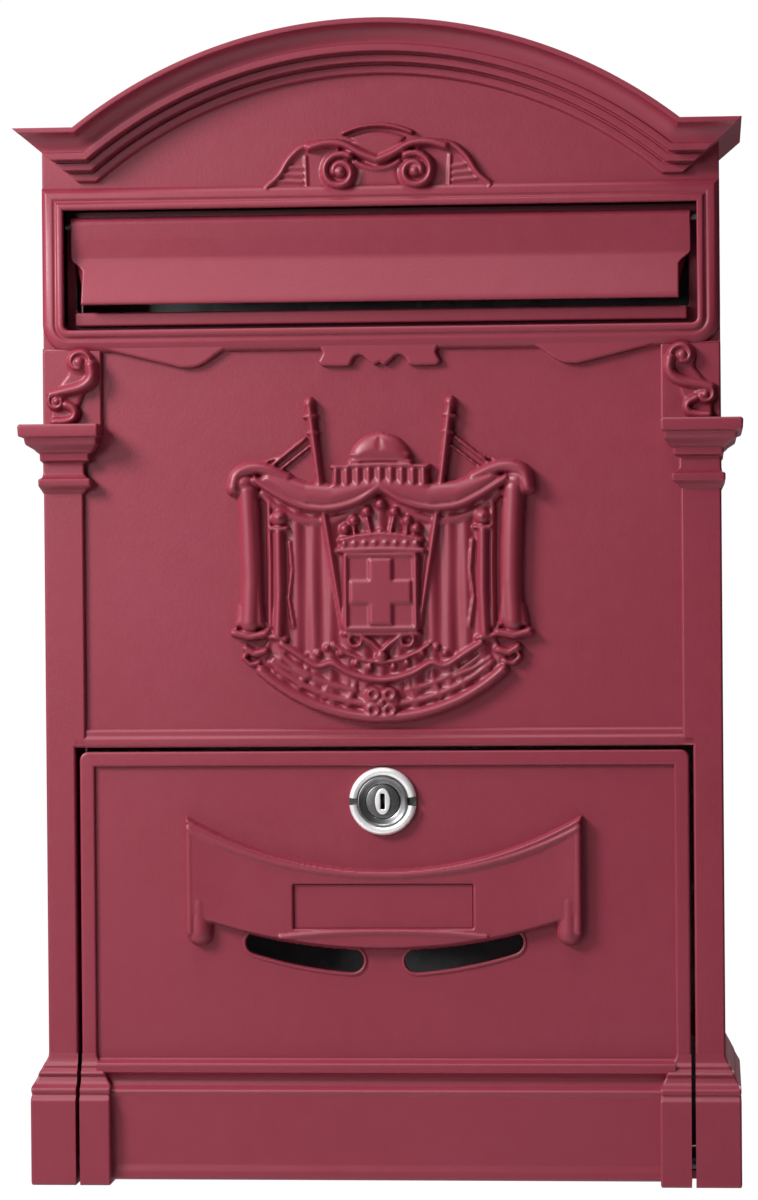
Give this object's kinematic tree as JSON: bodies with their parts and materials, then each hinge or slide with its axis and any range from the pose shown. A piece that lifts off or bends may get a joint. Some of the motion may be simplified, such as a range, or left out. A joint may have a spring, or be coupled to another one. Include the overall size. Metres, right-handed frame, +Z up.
{
  "type": "wall letter box",
  "caption": "Wall-hung cast letter box with an arched cornice, a lifting posting flap, raised relief, a ribbon name holder and a drop-down door with a cam lock.",
  "frame": {"origin": "middle of the foot of the box on the wall plane", "axes": "+X to the right seen from the front, +Y into the wall, +Z up; the front faces -Y"},
  "size_m": [0.256, 0.09, 0.41],
  "materials": {
    "paint": "satin maroon powder coat on cast aluminium",
    "zinc_sheet": "galvanised",
    "plated_steel": "zinc plated",
    "chrome": "polished",
    "lock_steel": "satin",
    "wafer_brass": "stamped",
    "plate": "satin maroon powder coat"
  },
  "bodies": {
    "housing": {"housing": "paint", "back_plate": "zinc_sheet", "back_plate_screws": "plated_steel", "door_pin_left": "plated_steel", "door_pin_right": "plated_steel", "door_pin_clips": "plated_steel"},
    "flap": {"mail_flap": "paint", "flap_pin_left": "plated_steel", "flap_pin_right": "plated_steel"},
    "door": {"door": "paint", "name_plate": "plate", "lock_ring": "chrome", "lock_barrel": "lock_steel"},
    "lock_core": {"lock_plug": "lock_steel", "lock_wafers": "wafer_brass", "lock_cam": "plated_steel", "cam_washer": "plated_steel", "cam_screw": "plated_steel"}
  },
  "joints": [
    {"name": "flap_hinge", "type": "hinge", "parent": "housing", "child": "flap", "pos_m": [0, -0.0713, 0.3403], "axis": [-1, 0, 0], "range_deg": [0, 75]},
    {"name": "door_hinge", "type": "hinge", "parent": "housing", "child": "door", "pos_m": [0, -0.074, 0.0075], "axis": [1, 0, 0], "range_deg": [0, 95]},
    {"name": "key_turn", "type": "hinge", "parent": "door", "child": "lock_core", "pos_m": [0, -0.07, 0.1352], "axis": [0, -1, 0], "range_deg": [0, 90]}
  ]
}
